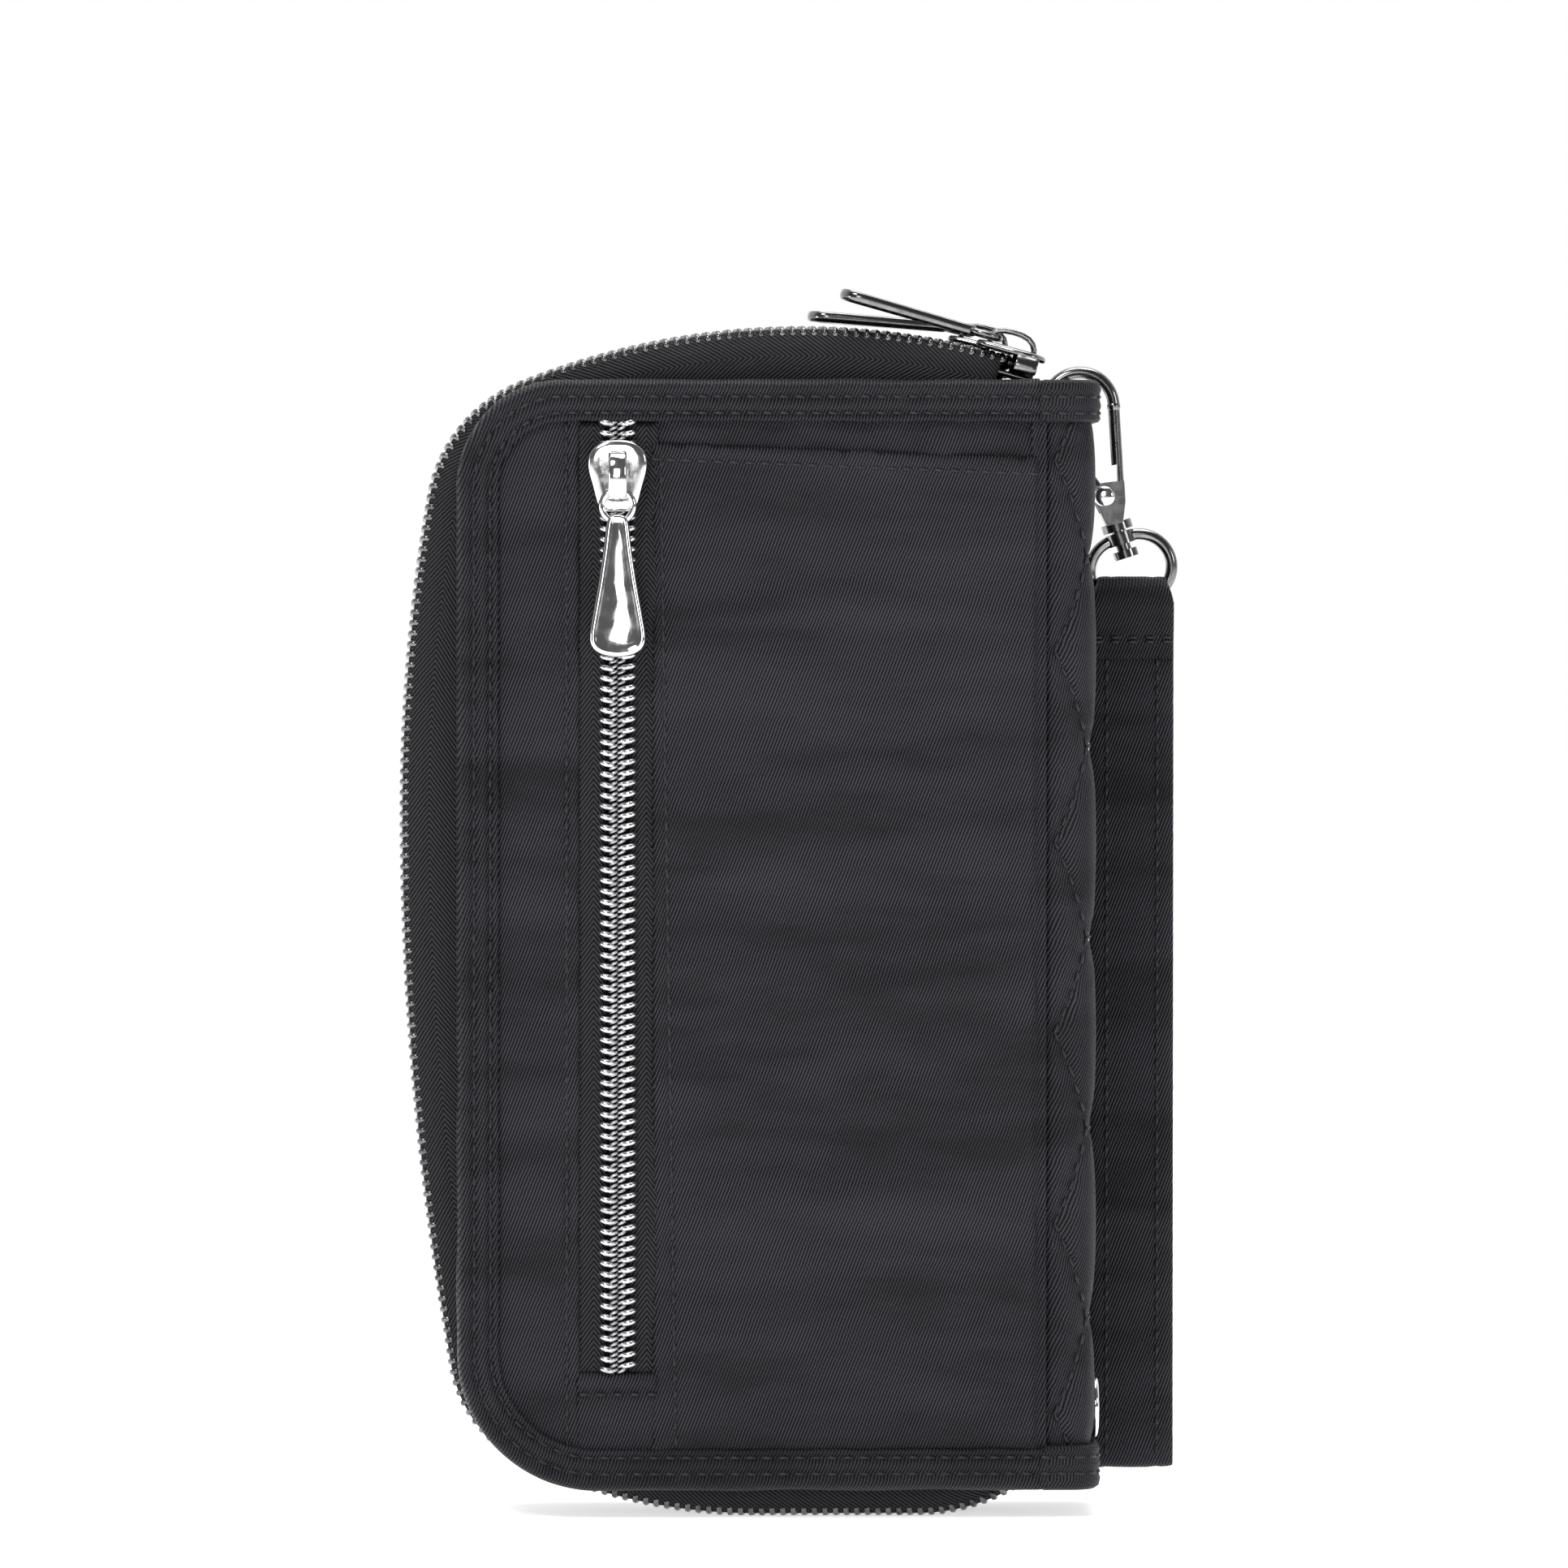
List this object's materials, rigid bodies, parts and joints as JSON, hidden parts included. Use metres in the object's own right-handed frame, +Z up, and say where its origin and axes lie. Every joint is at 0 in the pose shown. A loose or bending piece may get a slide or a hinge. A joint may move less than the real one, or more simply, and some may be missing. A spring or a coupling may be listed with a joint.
{
  "type": "zip-around pouch",
  "caption": "Upright zip-around pouch with two compartments, quilted front and spine, zip and slip pockets on the back, and a wrist strap on a swivel hook.",
  "frame": {"origin": "On the ground, midway between the two zips that the pouch stands on, at the left end of their flat stretch", "axes": "+Z up; the plain back panel faces -Y and the quilted front faces +Y; the spine is on the +X side and the zips' open edge on the -X side"},
  "size_m": [0.1256, 0.0467, 0.1959],
  "materials": {
    "nylon": "satin-faced nylon twill, fine steep ribs, soft sheen",
    "quilting": "the same twill quilted in hexagons over foam",
    "binding": "folded twill binding with two rows of stitching",
    "lining": "plain weave lining, matt",
    "zip_tape": "herringbone zip tape, matt",
    "webbing": "ribbed nylon webbing",
    "dark_teeth": "black coil teeth with bright facets",
    "bright_teeth": "silver coated coil teeth, polished",
    "gunmetal": "dark polished plating",
    "chrome": "bright polished plating",
    "board": "stiff sheet, hidden in the cover",
    "foam": "soft sheet foam under the quilting"
  },
  "bodies": {
    "core": {"divider_board": "board", "divider_binding": "binding", "divider_tape_back": "zip_tape", "divider_tape_front": "zip_tape", "divider_teeth_back": "dark_teeth", "divider_teeth_front": "dark_teeth", "card_panel_back_1": "lining", "card_panel_back_2": "lining", "card_panel_back_3": "lining", "card_panel_front_1": "lining", "card_panel_front_2": "lining", "card_panel_front_3": "lining", "spine_panel": "quilting", "spine_lining": "lining", "spine_top_binding": "binding", "spine_bottom_binding": "binding", "ring_tab": "webbing", "badge": "chrome", "badge_post": "chrome"},
    "back_cover": {"back_board": "board", "back_lining": "lining", "back_binding": "binding", "back_chain_tape": "zip_tape", "back_chain_teeth": "dark_teeth", "pocket_backing": "nylon", "slip_pocket": "nylon", "pocket_side_strip": "nylon", "pocket_tape_left": "zip_tape", "pocket_tape_right": "zip_tape", "pocket_teeth_left": "bright_teeth", "pocket_teeth_right": "bright_teeth", "pocket_top_stop": "bright_teeth", "pocket_end_patch": "nylon", "pocket_bag": "lining"},
    "front_cover": {"front_board": "board", "front_foam": "foam", "front_quilt": "quilting", "front_lining": "lining", "front_binding": "binding", "front_chain_tape": "zip_tape", "front_chain_teeth": "dark_teeth"},
    "pocket_slider": {"pocket_slider": "chrome"},
    "pocket_link": {"pocket_link": "chrome"},
    "pocket_puller": {"pocket_puller": "chrome"},
    "back_slider": {"back_slider": "gunmetal"},
    "back_link": {"back_link": "gunmetal"},
    "back_puller": {"back_puller": "gunmetal"},
    "front_slider": {"front_slider": "gunmetal"},
    "front_link": {"front_link": "gunmetal"},
    "front_puller": {"front_puller": "gunmetal"},
    "d_ring": {"d_ring": "gunmetal"},
    "hook": {"hook": "gunmetal", "gate_rivet": "chrome", "gate_spring": "chrome"},
    "gate": {"gate": "gunmetal"},
    "swivel": {"swivel_ring": "gunmetal"},
    "strap": {"wrist_strap": "webbing"}
  },
  "joints": [
    {"name": "back_cover_open", "type": "hinge", "parent": "core", "child": "back_cover", "pos_m": [0.0458, -0.0152, 0.09], "axis": [0, 0, 1], "range_deg": [0, 85]},
    {"name": "front_cover_open", "type": "hinge", "parent": "core", "child": "front_cover", "pos_m": [0.0458, 0.0152, 0.09], "axis": [0, 0, -1], "range_deg": [0, 85]},
    {"name": "pocket_slider_run", "type": "slide", "parent": "back_cover", "child": "pocket_slider", "axis": [0, 0, -1], "range_m": [0, 0.13]},
    {"name": "pocket_link_swing", "type": "hinge", "parent": "pocket_slider", "child": "pocket_link", "pos_m": [-0.0214, -0.0179, 0.1635], "axis": [-1, 0, 0], "range_deg": [0, 90]},
    {"name": "pocket_puller_swing", "type": "hinge", "parent": "pocket_link", "child": "pocket_puller", "pos_m": [-0.0214, -0.0179, 0.1585], "axis": [-1, 0, 0], "range_deg": [0, 80]},
    {"name": "back_slider_run", "type": "hinge", "parent": "core", "child": "back_slider", "pos_m": [0.00807, -0.006, 0.06957], "axis": [0, -1, 0], "range_deg": [0, 34]},
    {"name": "back_link_swing", "type": "hinge", "parent": "back_slider", "child": "back_link", "pos_m": [0.03957, -0.006, 0.18776], "axis": [0, 1, 0], "range_deg": [0, 90]},
    {"name": "back_puller_swing", "type": "hinge", "parent": "back_link", "child": "back_puller", "pos_m": [0.03476, -0.006, 0.18914], "axis": [0, 1, 0], "range_deg": [0, 80]},
    {"name": "front_slider_run", "type": "hinge", "parent": "core", "child": "front_slider", "pos_m": [0.00807, 0.006, 0.06957], "axis": [0, -1, 0], "range_deg": [0, 32]},
    {"name": "front_link_swing", "type": "hinge", "parent": "front_slider", "child": "front_link", "pos_m": [0.03542, 0.006, 0.18879], "axis": [0, 1, 0], "range_deg": [0, 90]},
    {"name": "front_puller_swing", "type": "hinge", "parent": "front_link", "child": "front_puller", "pos_m": [0.03057, 0.006, 0.19], "axis": [0, 1, 0], "range_deg": [0, 80]},
    {"name": "ring_swing", "type": "hinge", "parent": "core", "child": "d_ring", "pos_m": [0.052, 0.0162, 0.1735], "axis": [0, 0, 1], "range_deg": [-5, 20]},
    {"name": "hook_swing", "type": "hinge", "parent": "d_ring", "child": "hook", "pos_m": [0.052, 0.0193, 0.1801], "axis": [0, -1, 0], "range_deg": [0, 100]},
    {"name": "gate_press", "type": "hinge", "parent": "hook", "child": "gate", "pos_m": [0.0576, 0.0193, 0.1628], "axis": [0, 1, 0], "range_deg": [0, 20], "stiffness_Nm_per_rad": 0.02},
    {"name": "swivel_turn", "type": "hinge", "parent": "hook", "child": "swivel", "pos_m": [0.0596, 0.0193, 0.1584], "axis": [-0.309, 0, 0.9511], "continuous": true},
    {"name": "strap_swing", "type": "hinge", "parent": "swivel", "child": "strap", "pos_m": [0.06365, 0.0193, 0.14594], "axis": [1, 0, 0], "range_deg": [-55, 55]}
  ]
}
